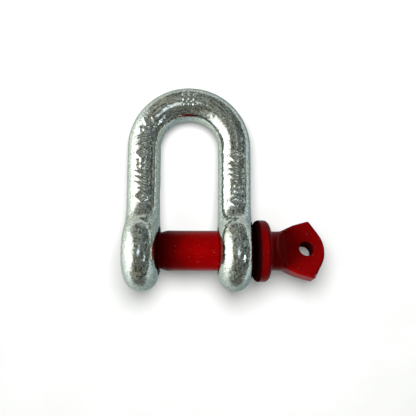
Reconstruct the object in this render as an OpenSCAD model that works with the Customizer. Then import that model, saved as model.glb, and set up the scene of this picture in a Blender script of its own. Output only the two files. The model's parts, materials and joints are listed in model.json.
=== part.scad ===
// Screw-pin dee (chain) shackle for lifting: a forged bow of round stock with an eye at each end,
// and a forged screw pin with a collar and a flat, pierced head.
//
// Frame: the pin's axis is X, with the pin's head at +X. Y points from the pin to the crown,
// and Z is square to the plane of the bow. The origin is on the pin's axis, midway between the eyes.
// Everything is in millimetres.

/* [Bow] */
// Diameter of the bow's round stock
stock_d = 19; // [17:0.5:20]
// Clear gap between the two legs
gap = 33; // [30:0.5:36]
// From the pin's axis to the centre of the crown's half circle
crown_y = 58.8; // [50:0.1:70]
// Outer diameter of the eyes
eye_d = 45.8; // [42:0.1:48]
// Radius of the hollow fillet between leg and eye
eye_fillet_r = 14; // [8:1:18]

/* [Screw pin] */
// Diameter of the pin's plain shank
pin_d = 22.8; // [21.6:0.1:23]
// Gap all round the shank in the plain eye
pin_clearance = 0.4; // [0.2:0.05:0.6]
// Diameter of the collar that seats on the plain eye
collar_d = 35; // [30:0.2:38]
// Thickness of the collar
collar_t = 8.4; // [7:0.2:10]
// Diameter of the round neck between collar and flat head
neck_d = 22.4; // [20:0.2:23]
// Distance from the origin to the tip of the head
head_tip_x = 76.4; // [75:0.2:82]
// Width of the flat head at its corners
head_w = 33.8; // [33:0.2:38]
// Thickness of the flat head
head_t = 10; // [8:0.5:12]
// Diameter of the hole in the head
head_hole_d = 7.8; // [6:0.2:9]
// Angle that the tightened head stops at, turned about the pin's axis
head_turn = 19; // [0:1:45]

/* [Thread] */
// Diameter over the thread's crests
thread_d = 20.8; // [20:0.1:21]
// Pitch of the thread
thread_pitch = 2.82; // [2.5:0.01:3]
// Depth of the thread's grooves
thread_depth = 1.3; // [0.8:0.1:1.5]
// Gap all round the thread's crests in the tapped eye
thread_clearance = 0.15; // [0.1:0.05:0.3]

/* [Hidden] */
$fn = 96;

// How far a cutter runs past what it cuts, and a piece into the one that it joins
over = 1;

// Bow
stock_r = stock_d / 2;
leg_x = gap / 2 + stock_r;
eye_r = eye_d / 2;
eye_out = gap / 2 + stock_d;
// Radius of the circle that the centre of the eye's round rim follows
rim_ring_r = eye_r - stock_r;
// The fillet leaves the leg square at fillet_y, and meets the eye on the line from its centre to the pin's axis
fillet_z = stock_r + eye_fillet_r;
fillet_y = sqrt(pow(eye_r + eye_fillet_r, 2) - pow(fillet_z, 2));
// The fillet's section is a hair smaller than the stock, so that the two never share a surface
fillet_section_r = stock_r - 0.05;

// Pin's shank and thread
pin_r = pin_d / 2;
plain_bore_r = pin_r + pin_clearance;
thread_r = thread_d / 2;
tapped_bore_r = thread_r + thread_clearance;
// The shank steps down to the thread's size at step_x, and the grooves begin inside the eye
step_x = -13;
groove_start_x = -gap / 2 - 1;
shank_end_x = -eye_out - 0.5;
end_chamfer = 1.6;
// Chamfers at the mouths of the two holes, facing the gap and facing outward
plain_mouth = 1.4;
tapped_mouth = 2;
outer_mouth = 1;

// Collar and neck
collar_x = eye_out + 1.2;
collar_end_x = collar_x + collar_t;
collar_r = collar_d / 2;
collar_round_r = 3;
neck_r = neck_d / 2;

// Head, seen square to its flat faces: it widens in two straight flares, then ends in a blunt point
slope_start_x = 48;
slope_end_x = 54;
flare_start_x = 51.3;
flare_x = 59.8;
flare_half_w = 14.2;
corner_x = 69.1;
tip_round_r = 17;
tip_angle = 31;
hole_x = 66.1;

module bow() {
    color("silver") difference() {
        union() {
            crown();
            for (side = [-1, 1]) {
                leg(side);
                eye(side);
            }
        }
        plain_bore();
        tapped_bore();
    }
}

// Half ring of round stock
module crown() {
    translate([0, crown_y, 0])
        rotate_extrude(angle = 180)
            translate([leg_x, 0])
                circle(stock_r);
}

// Straight leg from the top of the fillets to the crown
module leg(side) {
    translate([side * leg_x, fillet_y, 0])
        rotate([-90, 0, 0])
            cylinder(h = crown_y - fillet_y, r = stock_r);
}

// Eye: a disc with a full round rim, blended into its leg by a fillet on each face of the bow
module eye(side) {
    translate([side * leg_x, 0, 0]) {
        rotate([0, 90, 0])
            rotate_extrude()
                eye_section();
        for (face = [0, 1])
            mirror([0, 0, face])
                eye_fillet();
    }
}

module eye_section() {
    translate([0, -stock_r])
        square([rim_ring_r, stock_d]);
    translate([rim_ring_r, 0])
        circle(stock_r);
}

// The fillet on the +Z face: part of a ring around its centre, cut to the wedge between leg and eye
module eye_fillet() {
    intersection() {
        translate([0, fillet_y, fillet_z])
            rotate([0, 90, 0])
                rotate_extrude()
                    fillet_section();
        translate([-stock_d, 0, 0])
            rotate([90, 0, 90])
                linear_extrude(2 * stock_d)
                    polygon([[0, 0], [fillet_y, 0], [fillet_y, fillet_z]]);
    }
}

// A half round that faces the fillet's centre, with flat faces behind it
module fillet_section() {
    translate([fillet_z, 0])
        circle(fillet_section_r);
    translate([fillet_z, -fillet_section_r])
        square([stock_d, 2 * fillet_section_r]);
}

// Plain hole in the eye beside the pin's collar
module plain_bore() {
    rotate([0, 90, 0]) {
        cylinder(h = eye_out + over, r = plain_bore_r);
        mouths(plain_bore_r, plain_mouth);
    }
}

// Hole that holds the thread, in the eye at the pin's far end
module tapped_bore() {
    rotate([0, -90, 0]) {
        cylinder(h = eye_out + over, r = tapped_bore_r);
        mouths(tapped_bore_r, tapped_mouth);
    }
}

// Chamfers at a hole's two mouths, along Z from the middle of the gap
module mouths(bore_r, inner_mouth) {
    translate([0, 0, gap / 2 - over])
        cylinder(h = inner_mouth + over, r1 = bore_r + inner_mouth + over, r2 = bore_r);
    translate([0, 0, eye_out - outer_mouth])
        cylinder(h = outer_mouth + over, r1 = bore_r, r2 = bore_r + outer_mouth + over);
}

module screw_pin() {
    color("firebrick") {
        shank();
        collar();
        head();
    }
}

// Plain shank, step and threaded end, turned about the pin's axis
module shank() {
    rotate([0, 90, 0])
        rotate_extrude()
            polygon(concat(
                [[0, shank_end_x], [thread_r - end_chamfer, shank_end_x], [thread_r, shank_end_x + end_chamfer]],
                thread_points(),
                [[thread_r, step_x - pin_r + thread_r], [pin_r, step_x], [pin_r, collar_x + over], [0, collar_x + over]]
            ));
}

// The thread as plain rings, at its true pitch, from the end towards the step
function thread_points() = [
    for (i = [0:ring_count() - 1])
        for (p = groove())
            [p[0], groove_start_x - (ring_count() - i) * thread_pitch + p[1]]
];

function ring_count() = floor((groove_start_x - shank_end_x - end_chamfer) / thread_pitch);

// One groove, as radius and distance along the pin
function groove() = [
    [thread_r, 0.06 * thread_pitch],
    [thread_r - thread_depth, 0.42 * thread_pitch],
    [thread_r - thread_depth, 0.58 * thread_pitch],
    [thread_r, 0.94 * thread_pitch]
];

// Collar with a rounded rim
module collar() {
    inner_r = collar_r - collar_round_r;
    rotate([0, 90, 0])
        rotate_extrude() {
            translate([0, collar_x])
                square([inner_r, collar_t]);
            translate([0, collar_x + collar_round_r])
                square([collar_r, collar_t - 2 * collar_round_r]);
            for (x = [collar_x + collar_round_r, collar_end_x - collar_round_r])
                translate([inner_r, x])
                    circle(collar_round_r);
        }
}

// Flat head and its neck, turned to where the tightened pin stops
module head() {
    rotate([-head_turn, 0, 0])
        difference() {
            union() {
                translate([0, 0, -head_t / 2])
                    linear_extrude(head_t)
                        head_outline();
                neck();
            }
            translate([hole_x, 0, -head_t])
                cylinder(h = 2 * head_t, d = head_hole_d);
        }
}

module head_outline() {
    tip_centre_x = head_tip_x - tip_round_r;
    tip_start = [tip_centre_x + tip_round_r * cos(tip_angle), tip_round_r * sin(tip_angle)];
    edge = [[collar_end_x - over, neck_r - over], [flare_start_x, neck_r - over], [flare_x, flare_half_w],
        [corner_x, head_w / 2], tip_start];
    polygon(concat(edge, [for (i = [len(edge) - 1:-1:0]) [edge[i][0], -edge[i][1]]]));
    intersection() {
        translate([tip_centre_x, 0])
            circle(tip_round_r);
        translate([tip_start[0] - over, -tip_start[1]])
            square([head_tip_x, 2 * tip_start[1]]);
    }
}

// Round neck, cut down on both sides by a slope to the head's flat faces
module neck() {
    slope_l = slope_end_x - slope_start_x;
    slope_angle = atan2(neck_r - head_t / 2, slope_l);
    difference() {
        translate([collar_end_x - over, 0, 0])
            rotate([0, 90, 0])
                cylinder(h = slope_end_x - collar_end_x + over, r = neck_r);
        for (face = [0, 1])
            mirror([0, 0, face])
                translate([slope_start_x, -head_w, neck_r])
                    rotate([0, slope_angle, 0])
                        cube([2 * neck_r, 2 * head_w, neck_r]);
    }
}

bow();
screw_pin();
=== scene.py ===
"""Looks of the screw-pin dee shackle: a hot-dip galvanised bow and a glossy red pin, lying on a pale floor.

Both pieces are drawn as distance fields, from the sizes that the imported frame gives, and are then turned into
fine closed meshes. Lengths are in millimetres until a mesh or a place in the scene is made, then in metres.
"""

import json
import math

import bpy
import numpy as np
from mathutils import Matrix, Vector


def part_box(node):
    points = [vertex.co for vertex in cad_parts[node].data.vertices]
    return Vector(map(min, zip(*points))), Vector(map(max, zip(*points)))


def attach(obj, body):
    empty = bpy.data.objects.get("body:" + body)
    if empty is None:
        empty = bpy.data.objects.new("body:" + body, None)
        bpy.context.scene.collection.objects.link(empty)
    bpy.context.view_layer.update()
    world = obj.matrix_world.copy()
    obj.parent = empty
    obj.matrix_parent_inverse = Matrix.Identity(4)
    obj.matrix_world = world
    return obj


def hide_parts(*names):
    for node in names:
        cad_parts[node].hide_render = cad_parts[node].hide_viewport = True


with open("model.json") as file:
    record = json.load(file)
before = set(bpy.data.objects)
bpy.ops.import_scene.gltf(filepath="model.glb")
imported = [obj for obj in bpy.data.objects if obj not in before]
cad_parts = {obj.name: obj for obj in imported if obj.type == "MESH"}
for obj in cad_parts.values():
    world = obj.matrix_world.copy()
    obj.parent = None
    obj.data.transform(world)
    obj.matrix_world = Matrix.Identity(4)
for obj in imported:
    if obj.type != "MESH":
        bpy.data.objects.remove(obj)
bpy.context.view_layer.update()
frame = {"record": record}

MM = 0.001

# ---------------------------------------------------------------- sizes

MOUNTS = {mount["name"]: mount for mount in frame["record"]["mounts"]}
BOW_HIGH = np.array(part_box("bow")[1]) / MM
PIN_LOW, PIN_HIGH = (np.array(corner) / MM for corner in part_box("screw_pin"))

STOCK_R = (BOW_HIGH[1] - MOUNTS["crown_saddle"]["pos_m"][1] / MM) / 2
LEG_X = BOW_HIGH[0] - STOCK_R
CROWN_Y = BOW_HIGH[1] - STOCK_R - LEG_X
HALF_GAP = LEG_X - STOCK_R
EYE_R = BOW_HIGH[2]
FILLET_R = 14.0
FILLET_Z = STOCK_R + FILLET_R
FILLET_Y = math.sqrt((EYE_R + FILLET_R) ** 2 - FILLET_Z**2)

PIN_R = MOUNTS["pin_seat"]["dims"]["r_mm"]
PLAIN_BORE_R = PIN_R + 0.4
THREAD_R = 10.4
THREAD_DEPTH = 1.3
THREAD_PITCH = 2.82
TAPPED_BORE_R = THREAD_R + 0.15
STEP_X = -13.0
STEP_SLOPE = 0.5
GROOVE_START_X = -HALF_GAP - 1.0
PIN_END_X = PIN_LOW[0]
END_CHAMFER = 1.6
PLAIN_MOUTH = 1.4
TAPPED_MOUTH = 2.0
OUTER_MOUTH = 1.0

COLLAR_X = BOW_HIGH[0] + 1.2
COLLAR_END_X = COLLAR_X + 8.4
COLLAR_R = 17.5
COLLAR_ROUND_R = 3.0
NECK_R = 11.2

HOLE = MOUNTS["head_hole"]
HEAD_HALF_T = HOLE["dims"]["length_mm"] / 2
HEAD_HOLE_R = HOLE["dims"]["r_mm"]
HEAD_HOLE_X = HOLE["pos_m"][0] / MM
HEAD_TIP_X = PIN_HIGH[0]
HEAD_HALF_W = 16.9
CORNER_X = 69.1
FLARE_START_X = 51.3
FLARE_X = 59.8
FLARE_HALF_W = 14.2
SLOPE_START_X = 48.0
SLOPE_END_X = 54.0
TIP_ROUND_R = 17.0
TIP_ANGLE = math.radians(31)

# Each mesh starts a little inside the CAD surface, so that its lumps stay within the CAD box
ZINC_INSET = 0.15
PAINT_INSET = 0.05

# Grid steps of the meshes: fine enough for the marks and the thread, and under 200,000 triangles a piece
BOW_STEP = 0.53
PIN_STEP = 0.38


# ---------------------------------------------------------------- noise and blending

def lattice_noise(points, wavelength, seed):
    """Smooth noise from -1 to 1, from a repeating table of seeded random values."""
    size = 32
    table = np.random.default_rng(seed).uniform(-1, 1, (size, size, size))
    cell = np.floor(points / wavelength).astype(int)
    part = points / wavelength - cell
    part = part * part * (3 - 2 * part)
    total = np.zeros(len(points))
    for corner in range(8):
        step = np.array([corner & 1, corner >> 1 & 1, corner >> 2 & 1])
        weight = np.prod(np.where(step, part, 1 - part), axis=1)
        i, j, k = ((cell + step) % size).T
        total += weight * table[i, j, k]
    return total


def ramp(value, start, end):
    """0 before start, 1 after end, and smooth between them."""
    t = np.clip((value - start) / (end - start), 0, 1)
    return t * t * (3 - 2 * t)


def smooth_min(a, b, k):
    """The lesser of two distances, with a fillet where the two surfaces meet within k of each other."""
    h = np.clip(0.5 + 0.5 * (b - a) / k, 0, 1)
    return b + (a - b) * h - k * h * (1 - h)


def smooth_max(a, b, k):
    """The greater of two distances, with a rounded edge where the two surfaces meet."""
    return -smooth_min(-a, -b, k)


# ---------------------------------------------------------------- the bow's shape

def thread_wave(x, y, z):
    """The right-hand thread's groove: 0 on the crest, 1 in the root."""
    phase = (x / THREAD_PITCH - np.arctan2(z, y) / (2 * math.pi)) % 1.0
    return np.clip((0.9 - np.abs(2 * phase - 1)) / 0.75, 0, 1)


def eye_figure(y, z):
    """Distance from the figure that the stock is swept round in an eye's plane: disc, fillets and leg."""
    disc = np.hypot(y, z) - (EYE_R - STOCK_R)
    fillet = FILLET_Z - np.hypot(y - FILLET_Y, z - FILLET_Z)
    beside_fillet = y * FILLET_Z > z * FILLET_Y
    return np.where(y > FILLET_Y, z, np.maximum(np.where(beside_fillet, fillet, disc), 0))


def bored(x, across, wall, bore_r, inner_mouth):
    """Distance into a hole through an eye, with its wall and the chamfers at its two mouths."""
    inner = (across - bore_r - inner_mouth + x - HALF_GAP) / math.sqrt(2)
    outer = (across - bore_r - OUTER_MOUTH + BOW_HIGH[0] - x) / math.sqrt(2)
    return np.minimum(np.minimum(wall, inner), outer)


def bow_field(p):
    """Distance from the bow's surface, negative inside: crown, legs and eyes, less the two bores."""
    x, y, z = p.T
    crown = np.hypot(np.hypot(x, y - CROWN_Y) - LEG_X, z)
    leg = np.hypot(np.abs(x) - LEG_X, eye_figure(y, np.abs(z)))
    forging = np.where(y > CROWN_Y, crown, leg) - STOCK_R + ZINC_INSET
    across = np.hypot(y, z)
    thread = 0.8 * (across - TAPPED_BORE_R - 0.9 * (1 - thread_wave(x, y, z)))
    plain = bored(x, across, across - PLAIN_BORE_R, PLAIN_BORE_R, PLAIN_MOUTH)
    tapped = bored(-x, across, thread, TAPPED_BORE_R, TAPPED_MOUTH)
    return smooth_max(forging, -np.where(x > 0, plain, tapped), 0.8)


def along_bow(p):
    """Length along the bow from the tapped eye, and width across its upper face, outward positive."""
    x, y, z = p.T
    angle = np.arctan2(y - CROWN_Y, -x)
    on_crown = y > CROWN_Y
    leg_s = np.where(x < 0, y, 2 * CROWN_Y + math.pi * LEG_X - y)
    s = np.where(on_crown, CROWN_Y + angle * LEG_X, leg_s)
    outward = np.where(on_crown, np.hypot(x, y - CROWN_Y), np.abs(x)) - LEG_X
    return s, STOCK_R * np.arctan2(outward, z)


def lozenge(s, v, at, half_l=2.9, half_w=4.2, stroke=0.55):
    """Distance from a raised outline of a lozenge."""
    slant = half_l * half_w / math.hypot(half_l, half_w)
    return np.abs((np.abs(s - at) / half_l + np.abs(v) / half_w - 1) * slant) - stroke


def bar(s, v, at, lean=0.0, half_w=4.0, stroke=0.6):
    """Distance from a raised bar across the stock, leaning along it."""
    ends = np.clip(v / half_w, -1, 1)
    return np.hypot(s - at - lean * ends, v - half_w * ends) - stroke


def pips(s, v, at, rows=3, pip_r=0.85, spacing=2.9):
    """Distance from a row of raised dots across the stock."""
    nearest = np.clip(np.round(v / spacing), -(rows // 2), rows // 2) * spacing
    return np.hypot(s - at, v - nearest) - pip_r


def mark_distance(s, v):
    """Distance from the nearest forging mark. The marks are plain figures that stand for a maker's."""
    crown_s = CROWN_Y + math.pi * LEG_X / 2
    far_s = CROWN_Y + math.pi * LEG_X
    found = [lozenge(s, v, at) for at in (30, 54, 73, far_s + 6, far_s + 31)]
    found += [bar(s, v, at, lean=1.6) for at in (36, 39, 42, far_s + 12.5, far_s + 15.5, far_s + 18.5)]
    found += [bar(s, v, at, lean=-1.6) for at in (60.5, 63.5)]
    found += [pips(s, v, at) for at in (46.5, 49.4, 67, far_s + 23, far_s + 25.9)]
    found += [pips(s, v, crown_s + shift) for shift in (-2.9, 0, 2.9)]
    return np.minimum.reduce(found)


def zinc_relief(p, normal):
    """Height of the forging marks, the parting line and the zinc's lumps over the plain forging."""
    s, v = along_bow(p)
    marks = 0.55 * ramp(-mark_distance(s, v), -0.35, 0.25) * (p[:, 2] > 0)
    outside = ramp(np.hypot(p[:, 1], p[:, 2]), PLAIN_BORE_R + 1, PLAIN_BORE_R + 3)
    flash = 0.16 * np.exp(-((p[:, 2] / 0.6) ** 2)) * (0.6 + 0.4 * lattice_noise(p, 6.0, 11))
    swell = 0.08 * lattice_noise(p, 8.0, 12)
    lumps = 0.025 * lattice_noise(p, 2.3, 13) + 0.012 * lattice_noise(p, 1.2, 14)
    blobs = 0.30 * np.maximum(lattice_noise(p, 2.6, 15) - 0.70, 0)
    return outside * (marks + flash + swell + lumps + blobs)


# ---------------------------------------------------------------- the pin's shape

def shank_field(x, y, z, across):
    """Threaded end, step and plain shank, where across is the distance from the pin's axis."""
    groove = THREAD_DEPTH * thread_wave(x, y, z) * ramp(-x, -GROOVE_START_X, 2 - GROOVE_START_X)
    chamfer = (across - THREAD_R + END_CHAMFER + PIN_END_X - x) / math.sqrt(2)
    end = np.maximum(PIN_END_X - x, chamfer)
    thread = smooth_max(np.maximum((across - THREAD_R + groove) * 0.8, x - STEP_X - 1), end, 0.4)
    shoulder = (across - PIN_R + STEP_SLOPE * (STEP_X - x)) / math.hypot(1, STEP_SLOPE)
    plain = np.maximum(smooth_max(across - PIN_R, shoulder, 0.8), x - COLLAR_X - 1)
    return smooth_min(thread, plain, 0.3)


def collar_field(x, across):
    """A disc with a rounded rim."""
    half_t = (COLLAR_END_X - COLLAR_X) / 2 - COLLAR_ROUND_R
    out_x = np.abs(x - (COLLAR_X + COLLAR_END_X) / 2) - half_t
    out_r = across - (COLLAR_R - COLLAR_ROUND_R)
    outside = np.hypot(np.maximum(out_x, 0), np.maximum(out_r, 0))
    return outside + np.minimum(np.maximum(out_x, out_r), 0) - COLLAR_ROUND_R


def edge_line(x, v, start, end):
    """Distance outward from the line through two points of the head's outline."""
    run, rise = end[0] - start[0], end[1] - start[1]
    return ((v - start[1]) * run - (x - start[0]) * rise) / math.hypot(run, rise)


def head_coordinates(p):
    """w, the height over the head's middle plane, and v, the distance across it."""
    normal = np.array(HOLE["axis"])
    return p @ normal, p[:, 1] * normal[2] - p[:, 2] * normal[1]


def head_field(x, y, z, across):
    """Round neck with its two slopes, and the flat head with its outline and hole."""
    w, v = head_coordinates(np.stack([x, y, z], axis=1))
    v = np.abs(v)
    flare = edge_line(x, v, (FLARE_START_X, NECK_R - 1), (FLARE_X, FLARE_HALF_W))
    shoulder = edge_line(x, v, (FLARE_X, FLARE_HALF_W), (CORNER_X, HEAD_HALF_W))
    past = x - (HEAD_TIP_X - TIP_ROUND_R)
    straight_end = past * math.cos(TIP_ANGLE) + v * math.sin(TIP_ANGLE)
    end = np.where(np.arctan2(v, past) < TIP_ANGLE, np.hypot(past, v), straight_end) - TIP_ROUND_R
    outline = smooth_max(np.maximum(flare, shoulder), end, 0.9)
    plate = smooth_max(np.maximum(outline, COLLAR_END_X - 1 - x), np.abs(w) - HEAD_HALF_T, 1.5)
    slope = edge_line(x, np.abs(w), (SLOPE_START_X, NECK_R), (SLOPE_END_X, HEAD_HALF_T))
    neck = smooth_max(np.maximum(across - NECK_R, COLLAR_X - x), slope, 0.5)
    hole = HEAD_HOLE_R - np.hypot(x - HEAD_HOLE_X, v)
    return smooth_max(smooth_min(neck, plate, 0.5), hole, 0.9)


def pin_field(p):
    """Distance from the pin's surface, negative inside."""
    x, y, z = p.T
    across = np.hypot(y, z)
    turned = smooth_min(shank_field(x, y, z, across), collar_field(x, across), 0.8)
    return smooth_min(turned, head_field(x, y, z, across), 1.6) + PAINT_INSET


def paint_relief(p, normal):
    """Height of the paint's slow waves, and of the thin line where the neck's slope meets the flat face."""
    waves = 0.03 * lattice_noise(p, 5.0, 21) + 0.012 * lattice_noise(p, 1.6, 22)
    w, v = head_coordinates(p)
    on_face = ramp(np.abs(w), HEAD_HALF_T - 1, HEAD_HALF_T - 0.3)
    on_neck = ramp(-np.abs(v), 0.5 - NECK_R, 1.5 - NECK_R)
    line = 0.30 * np.exp(-(((p[:, 0] - SLOPE_END_X) / 0.35) ** 2)) * on_face * on_neck
    return waves * ramp(p[:, 0], GROOVE_START_X, STEP_X) + line


# ---------------------------------------------------------------- from field to mesh

def gradient(field, p):
    """How fast the field grows along each axis."""
    eps = 0.01
    sides = [field(p + eps * axis) - field(p - eps * axis) for axis in np.eye(3)]
    return np.stack(sides, axis=1) / (2 * eps)


def onto_surface(field, p, rounds):
    """Moves points to where the field is zero, and returns them with the surface's normals."""
    for _ in range(rounds):
        slope = gradient(field, p)
        p = p - field(p)[:, None] * slope / np.maximum((slope**2).sum(axis=1), 0.05)[:, None]
    slope = gradient(field, p)
    return p, slope / np.linalg.norm(slope, axis=1)[:, None]


def sampled(field, axes):
    """The field on a grid, one slab of x at a time."""
    y, z = np.meshgrid(axes[1], axes[2], indexing="ij")
    slabs = []
    for x in axes[0]:
        points = np.stack([np.full(y.size, x), y.ravel(), z.ravel()], axis=1)
        slabs.append(field(points).reshape(y.shape))
    return np.stack(slabs)


def surface_net(field, low, high, step):
    """A closed mesh of quads round the field's solid, with one vertex in each grid cell that it crosses."""
    axes = [np.arange(low[k] - 2 * step, high[k] + 3 * step, step) for k in range(3)]
    values = sampled(field, axes)
    inside = values < 0
    corners = [(i, j, k) for i in (0, 1) for j in (0, 1) for k in (0, 1)]
    shape = [n - 1 for n in values.shape]

    def shifted(grid, corner):
        return grid[tuple(slice(c, c + n) for c, n in zip(corner, shape))]

    filled = sum(shifted(inside, corner).astype(np.int8) for corner in corners)
    cells = np.argwhere((filled > 0) & (filled < 8))
    number = np.full(shape, -1)
    number[tuple(cells.T)] = np.arange(len(cells))

    total, crossings = np.zeros((len(cells), 3)), np.zeros(len(cells))
    for start in corners:
        for axis in range(3):
            if start[axis]:
                continue
            end = tuple(c + (k == axis) for k, c in enumerate(start))
            a, b = (values[tuple((cells + corner).T)] for corner in (start, end))
            crosses = (a < 0) != (b < 0)
            share = np.where(crosses, a / np.where(crosses, a - b, 1), 0)
            total += crosses[:, None] * (np.array(start) + share[:, None] * np.eye(3)[axis])
            crossings += crosses
    origin = np.array([axis[0] for axis in axes])
    points = origin + step * (cells + total / crossings[:, None])

    quads = []
    for axis in range(3):
        ahead = np.roll(np.eye(3, dtype=int)[0], axis)
        one, two = (np.roll(ahead, turn) for turn in (1, 2))
        upper = tuple(slice(int(a), None) for a in ahead)
        lower = tuple(slice(None, -1 if a else None) for a in ahead)
        changes = inside[lower] != inside[upper]
        at = np.argwhere(changes)
        leaves = inside[tuple(at.T)]
        ring = [number[tuple((at - away).T)] for away in (one + two, two, 0 * one, one)]
        quad = np.stack(ring, axis=1)
        quads.append(np.where(leaves[:, None], quad, quad[:, ::-1]))
    return points, np.concatenate(quads)


def relaxed(points, quads):
    """Points moved half way to the mean of their neighbours, which evens out the quads."""
    start, end = quads.ravel(), np.roll(quads, -1, axis=1).ravel()
    both, other = np.concatenate([start, end]), np.concatenate([end, start])
    count = np.bincount(both, minlength=len(points))
    mean = [np.bincount(both, points[other, k], len(points)) / count for k in range(3)]
    return (points + np.stack(mean, axis=1)) / 2


def piece_from_field(name, field, relief, low, high, step):
    """Makes a piece's mesh: a net round the field, evened out, with the relief raised along its normals."""
    points, quads = surface_net(field, low, high, step)
    for _ in range(3):
        points, _ = onto_surface(field, relaxed(points, quads), 1)
    points, normals = onto_surface(field, points, 2)
    points = points + relief(points, normals)[:, None] * normals
    mesh = bpy.data.meshes.new(name)
    mesh.from_pydata((points * MM).tolist(), [], quads.tolist())
    mesh.polygons.foreach_set("use_smooth", np.ones(len(quads), bool))
    mesh.update()
    piece = bpy.data.objects.new(name, mesh)
    bpy.context.scene.collection.objects.link(piece)
    return piece


def add_attribute(piece, name, values):
    """Stores one number for each vertex, for the piece's material to read."""
    attribute = piece.data.attributes.new(name, "FLOAT", "POINT")
    attribute.data.foreach_set("value", values.astype(np.float32))


def mesh_points(piece):
    """The piece's vertices in millimetres."""
    co = np.zeros(3 * len(piece.data.vertices), np.float32)
    piece.data.vertices.foreach_get("co", co)
    return co.reshape(-1, 3) / MM


# ---------------------------------------------------------------- materials

class Nodes:
    """A material's or the world's node tree, with one short call for each kind of node."""

    def __init__(self, owner, shader_type, place):
        owner.use_nodes = True
        self.owner = owner
        self.tree = owner.node_tree
        self.shader = next(n for n in self.tree.nodes if n.type == shader_type)
        self.place = self.tree.nodes.new("ShaderNodeTexCoord").outputs[place]

    def link(self, value, socket):
        if isinstance(value, bpy.types.NodeSocket):
            self.tree.links.new(value, socket)
        else:
            socket.default_value = value

    def noise(self, size_mm, detail=2.0, roughness=0.5, distortion=0.0):
        node = self.tree.nodes.new("ShaderNodeTexNoise")
        self.link(self.place, node.inputs["Vector"])
        node.inputs["Scale"].default_value = 1 / (size_mm * MM)
        node.inputs["Detail"].default_value = detail
        node.inputs["Roughness"].default_value = roughness
        node.inputs["Distortion"].default_value = distortion
        return node.outputs["Fac"]

    def attribute(self, name):
        node = self.tree.nodes.new("ShaderNodeAttribute")
        node.attribute_name = name
        return node.outputs["Fac"]

    def range(self, value, low, high, to_low=0.0, to_high=1.0):
        node = self.tree.nodes.new("ShaderNodeMapRange")
        node.interpolation_type = "SMOOTHSTEP"
        for socket, v in zip(node.inputs, (value, low, high, to_low, to_high)):
            self.link(v, socket)
        return node.outputs["Result"]

    def math(self, operation, a, b):
        node = self.tree.nodes.new("ShaderNodeMath")
        node.operation = operation
        self.link(a, node.inputs[0])
        self.link(b, node.inputs[1])
        return node.outputs[0]

    def distance(self, point):
        node = self.tree.nodes.new("ShaderNodeVectorMath")
        node.operation = "DISTANCE"
        self.link(self.place, node.inputs[0])
        node.inputs[1].default_value = point
        return node.outputs["Value"]

    def mix(self, share, a, b):
        node = self.tree.nodes.new("ShaderNodeMix")
        node.data_type = "RGBA"
        self.link(share, node.inputs[0])
        self.link(a, node.inputs[6])
        self.link(b, node.inputs[7])
        return node.outputs[2]

    def bump(self, height, distance_mm, strength=1.0, under=None):
        node = self.tree.nodes.new("ShaderNodeBump")
        self.link(height, node.inputs["Height"])
        node.inputs["Distance"].default_value = distance_mm * MM
        node.inputs["Strength"].default_value = strength
        if under is not None:
            self.link(under, node.inputs["Normal"])
        return node.outputs["Normal"]

    def set(self, **sockets):
        for name, value in sockets.items():
            self.link(value, self.shader.inputs[name.replace("_", " ")])


def material_nodes(name):
    return Nodes(bpy.data.materials.new(name), "BSDF_PRINCIPLED", "Object")


def galvanised_zinc():
    """Bright, lumpy hot-dip zinc: mottled greys, dull skin in patches, fine grain, a few stains, and painted
    shade in and round the bores.
    """
    n = material_nodes("galvanised_zinc")
    mottle = n.range(n.noise(1.3, 3.0, 0.6, 0.4), 0.38, 0.62)
    cloud = n.range(n.noise(7.0, 2.0), 0.35, 0.65)
    speck = n.range(n.noise(0.9, 2.0, 0.6), 0.60, 0.66)
    stain = n.range(n.noise(2.2, 2.0, 0.5, 1.0), 0.68, 0.76)
    bright = n.mix(cloud, (0.68, 0.71, 0.65, 1), (0.65, 0.70, 0.67, 1))
    dull = n.mix(cloud, (0.46, 0.48, 0.42, 1), (0.46, 0.50, 0.48, 1))
    skin = n.mix(mottle, dull, bright)
    # Painted shade: near-black, rough zinc inside the bores and round their mouths, where the pin enters
    shade_and_grease = n.math("MULTIPLY", n.attribute("shade_and_grease"), n.range(n.noise(0.9, 2.0), 0.30, 0.50, 0.6, 1.0))
    pitted = n.mix(n.math("MULTIPLY", speck, 0.45), skin, (0.10, 0.10, 0.085, 1))
    marked = n.mix(n.math("MULTIPLY", stain, 0.5), pitted, (0.22, 0.13, 0.07, 1))
    colour = n.mix(shade_and_grease, marked, (0.025, 0.018, 0.012, 1))
    rough = n.range(n.noise(1.6, 2.0, 0.5), 0.3, 0.7, 0.15, 0.06)
    rough = n.math("MAXIMUM", rough, n.math("MULTIPLY", shade_and_grease, 0.6))
    fine = n.bump(n.noise(1.0, 0.0), 0.05, 0.8)
    lumps = n.bump(n.noise(2.4, 1.0, 0.5, 0.3), 0.16, 0.9, fine)
    n.set(Base_Color=colour, Metallic=1.0, Roughness=rough, Normal=lumps, Specular_Tint=(0.69, 0.72, 0.70, 1))
    return n.owner


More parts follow.
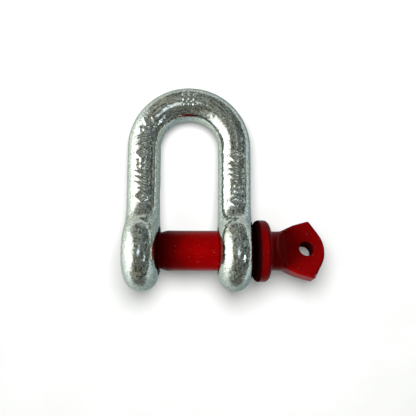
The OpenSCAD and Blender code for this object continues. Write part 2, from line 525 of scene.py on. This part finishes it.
def red_paint():
    """Glossy deep red enamel over steel: faint waves, painted shade with some greasy dirt that darkens it
    near-black in places, and a few worn spots.
    """
    n = material_nodes("red_paint")
    cloud = n.range(n.noise(9.0, 2.0), 0.3, 0.7)
    speck = n.range(n.noise(0.8, 1.0), 0.71, 0.75)
    paint = n.mix(cloud, (0.20, 0.0004, 0.0007, 1), (0.24, 0.0005, 0.0009, 1))
    dusty = n.mix(n.math("MULTIPLY", speck, 0.45), paint, (0.45, 0.12, 0.12, 1))
    # Painted shade with some greasy dirt: near-black and without gloss, where the pin's mask says
    paint_shade_and_grease = n.math("MULTIPLY", n.attribute("shade_and_grease"), n.range(n.noise(0.9, 2.0), 0.25, 0.50, 0.75, 1.0))
    worn = n.range(n.math("ADD", n.attribute("wear"), n.math("MULTIPLY", n.noise(0.7, 3.0), 0.5)), 0.95, 1.05)
    colour = n.mix(worn, n.mix(paint_shade_and_grease, dusty, (0.008, 0.002, 0.002, 1)), (0.35, 0.33, 0.31, 1))
    rough = n.range(n.noise(1.5, 3.0), 0.3, 0.7, 0.12, 0.22)
    waves = n.bump(n.noise(1.3, 2.0), 0.05, 0.25)
    n.set(Base_Color=colour, Metallic=n.math("MULTIPLY", worn, 0.9), Roughness=rough, Normal=waves)
    # The plain level comes first, and stays where an export drops the one that fades where painted shade and
    # dirt darken the paint
    gloss = 0.12
    n.set(Specular_IOR_Level=gloss, Specular_Tint=(1.0, 0.05, 0.05, 1))
    n.set(Specular_IOR_Level=n.range(paint_shade_and_grease, 0.0, 0.8, gloss, 0.0))
    return n.owner


def floor_paper():
    """Plain pale matt floor with the faintest grain."""
    n = material_nodes("floor_paper")
    grain = n.range(n.noise(40.0, 2.0), 0.3, 0.7, 0.0, 1.0)
    n.set(Base_Color=n.mix(grain, (0.54, 0.54, 0.54, 1), (0.56, 0.56, 0.56, 1)), Roughness=0.9)
    return n.owner


# ---------------------------------------------------------------- pieces

def bow_bore_shade(p):
    """How near each point is to where shade is painted: inside the two bores and round their mouths, where the
    pin enters.
    """
    return ramp(-np.hypot(p[:, 1], p[:, 2]), -PLAIN_BORE_R - 3.0, -PLAIN_BORE_R - 1.2)


def build_bow():
    low = (-BOW_HIGH[0], -EYE_R, -EYE_R)
    piece = piece_from_field("bow_forging", bow_field, zinc_relief, low, BOW_HIGH, BOW_STEP)
    # The painted shade round the bores, for the material to read
    add_attribute(piece, "shade_and_grease", bow_bore_shade(mesh_points(piece)))
    piece.data.materials.append(galvanised_zinc())
    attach(piece, "bow")
    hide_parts("bow")


def pin_wear(p):
    """How near each point is to bare metal: one corner of the head, and a nick on the collar."""
    w, v = head_coordinates(p)
    from_corner = [p[:, 0] - CORNER_X - 1, v + HEAD_HALF_W - 1.2, w - HEAD_HALF_T]
    corner = np.linalg.norm(from_corner, axis=0)
    nick = np.linalg.norm(p - np.array([COLLAR_END_X - 2, -COLLAR_R + 1, 4.0]), axis=1)
    return np.maximum(ramp(-corner, -2.6, -0.8), 0.9 * ramp(-nick, -1.6, -0.4))


def pin_shade_and_grease(p):
    """How dark each point is painted: shade where the pin enters the tapped eye and a greasy thread inside it,
    the tapped eye's shadow on the shank, the plain eye's shadow with dirt on the collar's left face, a darker
    collar, a darker head as painted shade, and darker inside the head's hole.
    """
    x, across = p[:, 0], np.hypot(p[:, 1], p[:, 2])
    # Painted shade where the pin enters the tapped eye, and a dark greasy thread inside it
    thread = ramp(-x, HALF_GAP - 1.5, HALF_GAP + 0.5)
    # Painted shadow of the tapped eye across the shank
    tapped_eye_shadow = ramp(-x, 4, 13)
    # Painted shadow of the plain eye on the collar's left face, with some dirt in the gap
    plain_eye_shadow_and_dirt = ramp(x, HALF_GAP - 0.5, HALF_GAP + 1) * ramp(-x, -COLLAR_X - 3.2, -COLLAR_X - 2.0)
    # The whole collar a little darker
    collar = ramp(x, COLLAR_X - 1, COLLAR_X + 1) * ramp(-x, -COLLAR_END_X, -COLLAR_END_X + 1)
    w, v = head_coordinates(p)
    # Darker inside the head's hole
    hole = ramp(-np.hypot(x - HEAD_HOLE_X, v), -HEAD_HOLE_R - 0.7, -HEAD_HOLE_R - 0.1)
    # Painted shade: the neck and head darker than the shank
    head = ramp(x, COLLAR_END_X, COLLAR_END_X + 6)
    return np.maximum.reduce([0.9 * thread, 0.5 * tapped_eye_shadow, 0.95 * plain_eye_shadow_and_dirt, 0.38 * collar, 0.9 * hole, 0.3 * head])


def build_pin():
    piece = piece_from_field("screw_pin_forging", pin_field, paint_relief, PIN_LOW, PIN_HIGH, PIN_STEP)
    points = mesh_points(piece)
    add_attribute(piece, "wear", pin_wear(points))
    # Painted shade and greasy dirt, for the material to read
    add_attribute(piece, "shade_and_grease", pin_shade_and_grease(points))
    piece.data.materials.append(red_paint())
    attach(piece, "screw_pin")
    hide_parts("screw_pin")


# ---------------------------------------------------------------- floor, camera and light

def floor_normal():
    """The floor touches the rims of both eyes and the crown, so it tilts a little from the bow's plane."""
    tilt = math.asin((EYE_R - STOCK_R) / (CROWN_Y + LEG_X))
    return Vector((0, -math.sin(tilt), math.cos(tilt)))


def build_floor():
    """A plain square sheet, 4 m wide. Metal and paint mirror the painted table of the world instead of it."""
    up = floor_normal()
    half = 2.0
    corners = [(-half, -half, 0), (half, -half, 0), (half, half, 0), (-half, half, 0)]
    mesh = bpy.data.meshes.new("floor")
    mesh.from_pydata(corners, [], [(0, 1, 2, 3)])
    floor = bpy.data.objects.new("floor", mesh)
    turn = up.to_track_quat("Z", "Y").to_matrix().to_4x4()
    floor.matrix_world = Matrix.Translation(up * -EYE_R * MM) @ turn
    floor.data.materials.append(floor_paper())
    bpy.context.scene.collection.objects.link(floor)
    floor.visible_glossy = False
    return floor


def build_camera():
    """Looks down on the bow almost squarely, from just over 200 mm."""
    data = bpy.data.cameras.new("camera")
    data.sensor_width = 36
    data.lens = 31.3875
    data.clip_start = 0.01
    camera = bpy.data.objects.new("camera", data)
    turn = (Matrix.Rotation(math.radians(-0.42), 3, "Z") @ Matrix.Rotation(math.radians(1.69), 3, "Y")
            @ Matrix.Rotation(math.radians(-4.80), 3, "X"))
    camera.matrix_world = Matrix.Translation(Vector((4.76, 6.95, 207)) * MM) @ turn.transposed().to_4x4()
    bpy.context.scene.collection.objects.link(camera)
    bpy.context.scene.camera = camera


def add_light(name, kind, floor, on_floor):
    """A light that falls either on the floor only or on all but the floor, and that no metal mirrors."""
    light = bpy.data.objects.new(name, bpy.data.lights.new(name, kind))
    bpy.context.scene.collection.objects.link(light)
    light.visible_glossy = False
    receivers = bpy.data.collections.new(name + "_receivers")
    receivers.objects.link(floor)
    receivers.collection_objects[0].light_linking.link_state = "INCLUDE" if on_floor else "EXCLUDE"
    light.light_linking.receiver_collection = receivers
    return light


def build_lights(floor):
    # Daylight from the window's side, low over the table
    key = add_light("key", "SUN", floor, False)
    key.matrix_world = Vector((-0.88, 0.02, 0.46)).to_track_quat("Z", "Y").to_matrix().to_4x4()
    key.data.angle = math.radians(18)
    key.data.energy = 5.6

    # A big soft lamp close over the table, whose light is as strong at the table's edges as in its middle
    lamp = add_light("table_lamp", "POINT", floor, True)
    lamp.location = Vector((5, 55, 207)) * MM
    lamp.data.shadow_soft_size = 58 * MM
    lamp.data.energy = 1.0
    lamp.data.use_nodes = True
    tree = lamp.data.node_tree
    falloff = tree.nodes.new("ShaderNodeLightFalloff")
    falloff.inputs["Strength"].default_value = 68.0
    tree.links.new(falloff.outputs["Constant"], tree.nodes["Emission"].inputs["Strength"])


def build_world():
    """A studio for the metal to mirror: a window at -X, two lamps overhead, dull walls, a pale table.

    Behind the floor's edge the camera itself sees a plain pale backdrop.
    """
    world = bpy.data.worlds.new("studio")
    bpy.context.scene.world = world
    n = Nodes(world, "BACKGROUND", "Generated")
    split = n.tree.nodes.new("ShaderNodeSeparateXYZ")
    n.link(n.place, split.inputs[0])
    x, y, z = split.outputs

    # Dull walls, brighter beside the window, with dark and pale things in front of them
    walls = n.mix(n.range(y, -0.2, 0.7), (0.22, 0.225, 0.19, 1), (0.37, 0.39, 0.36, 1))
    walls = n.mix(n.range(x, 0.1, 0.6), walls, (0.16, 0.185, 0.17, 1))
    walls = n.mix(n.range(x, 0.0, -0.45), walls, (0.44, 0.43, 0.36, 1))
    clutter = n.noise(140.0, 2.0, 0.6)
    walls = n.mix(n.range(clutter, 0.50, 0.40), walls, (0.035, 0.035, 0.03, 1))
    walls = n.mix(n.range(clutter, 0.58, 0.66), walls, (0.60, 0.62, 0.66, 1))

    # The window and the two lamps
    window = n.math("MULTIPLY", n.range(x, -0.35, -0.80), n.range(y, -0.85, -0.45))
    window = n.math("MULTIPLY", window, n.range(y, 0.80, 0.45))
    room = n.mix(window, walls, (2.4, 2.45, 2.35, 1))
    room = n.mix(n.range(n.distance((0.10, -0.03, 1.0)), 0.26, 0.06), room, (1.3, 1.45, 1.55, 1))
    room = n.mix(n.range(n.distance((0.69, -0.32, 0.65)), 0.11, 0.04), room, (5.0, 5.5, 6.0, 1))

    # The table: dimmer close to the shackle and away from the window
    near = n.mix(n.range(x, -0.8, 0.4), (0.86, 0.91, 0.86, 1), (0.40, 0.48, 0.49, 1))
    far = n.mix(n.range(x, -0.8, 0.2), (1.30, 1.36, 1.30, 1), (0.70, 0.82, 0.85, 1))
    far = n.mix(n.range(y, 0.50, 0.95), far, (0.76, 0.78, 0.76, 1))
    far = n.mix(n.range(y, -0.70, -0.98), far, (0.16, 0.17, 0.15, 1))
    table = n.mix(n.range(z, -0.15, -0.60), far, near)

    reflected = n.mix(n.range(z, -0.01, 0.13), table, room)
    seen = n.tree.nodes.new("ShaderNodeLightPath").outputs["Is Camera Ray"]
    n.set(Color=n.mix(seen, reflected, (0.80, 0.80, 0.80, 1)))


build_camera()
build_lights(build_floor())
build_world()
build_bow()
build_pin()
bpy.context.scene.view_settings.view_transform = "Standard"
